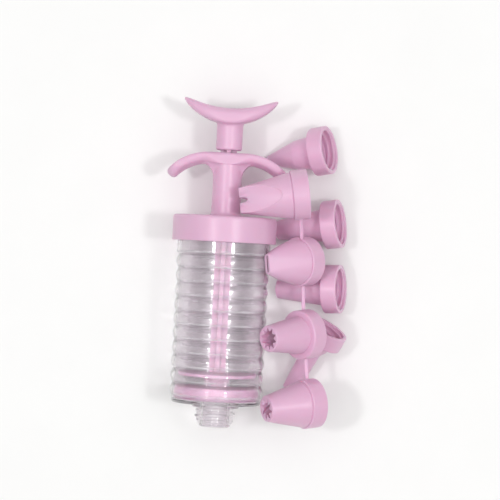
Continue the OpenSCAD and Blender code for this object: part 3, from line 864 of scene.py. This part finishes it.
def surround():
    """White light from all round that grows with the fourth power of the height from which it comes."""
    finish = Finish(bpy.data.worlds.new("surround"))
    where = finish.node("TexCoord", output="Generated")
    height = finish.math("MAXIMUM", finish.node("SeparateXYZ", None, {"Vector": where}, 2), 0)
    strength = 0.25 + 1.5 * finish.math("POWER", height, 4)
    light = finish.node("Background", None, {"Color": (1, 1, 1, 1), "Strength": strength})
    return finish.done(light, "OutputWorld")


def lamp(name, aim, turn, away, width, length, power):
    """Soft lamp in metres, turned about Y from straight above the point that it faces; length is along Y."""
    data = bpy.data.lights.new(name, "AREA")
    data.shape = "RECTANGLE"
    data.size = width
    data.size_y = length
    data.energy = power
    made = bpy.data.objects.new(name, data)
    made.location = aim + away * np.array([math.sin(turn), 0, math.cos(turn)])
    made.rotation_euler = (0, turn, 0)
    bpy.context.scene.collection.objects.link(made)


PINK = pink_plastic()
CLEAR = clear_plastic()

star_slot_r = STAR_TIP_R - NOZZLE_WALL / 2
small_slot_r = SLENDER_TIP_R - NOZZLE_WALL / 2
pink_pieces = {
    "finger_cap": finger_cap_surface(),
    "thumb_rest": thumb_rest_surface(),
    "plunger_rod": plunger_rod_surface(),
    "piston_head": piston_head_surface(),
    "nozzle_fine_round": round_nozzle(
        PLACES["fine_round"], SLENDER_R, FINE_TIP_R, FINE_TIP_R - NOZZLE_WALL / 2, FINE_LEN, [FINE_BEND]),
    "nozzle_wide_round": round_nozzle(
        PLACES["wide_round"], SLENDER_R, SLENDER_TIP_R, SLENDER_TIP_R - NOZZLE_WALL, SLENDER_LEN),
    "nozzle_filler": round_nozzle(
        PLACES["filler"], SLENDER_R, FILLER_TIP_R, FILLER_TIP_R - NOZZLE_WALL, FILLER_LEN, [FILLER_BEND]),
    "nozzle_small_star": star_nozzle(
        PLACES["small_star"], SLENDER_R, SLENDER_TIP_R, STAR_HOLE_SHARE * small_slot_r, small_slot_r,
        SLENDER_LEN, teeth=6, lean=0, sharpness=1.3),
    "nozzle_open_star": star_nozzle(
        PLACES["open_star"], OPEN_STAR_R, STAR_TIP_R, STAR_HOLE_SHARE * star_slot_r, star_slot_r,
        STAR_LEN, teeth=10, lean=0, sharpness=1.3),
    "nozzle_swirl_star": star_nozzle(
        PLACES["swirl_star"], FULL_R, STAR_TIP_R, SWIRL_HOLE_SHARE * STAR_TIP_R, star_slot_r,
        STAR_LEN, teeth=8, lean=0.6, sharpness=1.4),
    "nozzle_petal": petal_nozzle(PLACES["petal"]),
    "nozzle_leaf": leaf_nozzle(PLACES["leaf"]),
    "nozzle_runner": runner_surface(),
}
for node, shells in pink_pieces.items():
    piece(node, shells, PINK)
piece("barrel", barrel_surface(), CLEAR)

# Table, in metres
FLOOR_HALF = 3.0
floor_mesh = bpy.data.meshes.new("table")
floor_corners = [(FLOOR_HALF * x, FLOOR_HALF * y, 0) for x, y in ((-1, -1), (1, -1), (1, 1), (-1, 1))]
floor_mesh.from_pydata(floor_corners, [], [(0, 1, 2, 3)])
floor_mesh.materials.append(pale_floor())
floor = bpy.data.objects.new("table", floor_mesh)
bpy.context.scene.collection.objects.link(floor)

# Camera straight above: the photograph is 500 x 500 pixels of 0.52 mm at the height of the syringe's axis
PIXEL = 0.52 * MM
IMAGE_PIXELS = 500
CAMERA_ABOVE = 1.2
LEAN = math.radians(3.07)
IMAGE_MIDDLE = np.array([13.7, 80.6, 0])
camera_data = bpy.data.cameras.new("camera")
camera_data.sensor_width = 36.0
camera_data.lens = camera_data.sensor_width * CAMERA_ABOVE / (PIXEL * IMAGE_PIXELS)
camera = bpy.data.objects.new("camera", camera_data)
camera.location = (SYRINGE_FOOT + IMAGE_MIDDLE) * MM + np.array([0, 0, CAMERA_ABOVE])
camera.rotation_euler = (0, 0, LEAN)
bpy.context.scene.collection.objects.link(camera)
bpy.context.scene.camera = camera

# Light: two soft lamps to the left and the right, in metres and watts, and the surround
aim = np.array([camera.location.x, camera.location.y, SYRINGE_FOOT[2] * MM])
LAMP_ANGLE = math.radians(24)
LAMP_AWAY = 1.3
lamp("left_lamp", aim, -LAMP_ANGLE, LAMP_AWAY, width=0.11, length=0.14, power=2.6)
lamp("right_lamp", aim, LAMP_ANGLE, LAMP_AWAY, width=0.14, length=0.14, power=3.0)
bpy.context.scene.world = surround()
bpy.context.scene.view_settings.view_transform = "Standard"
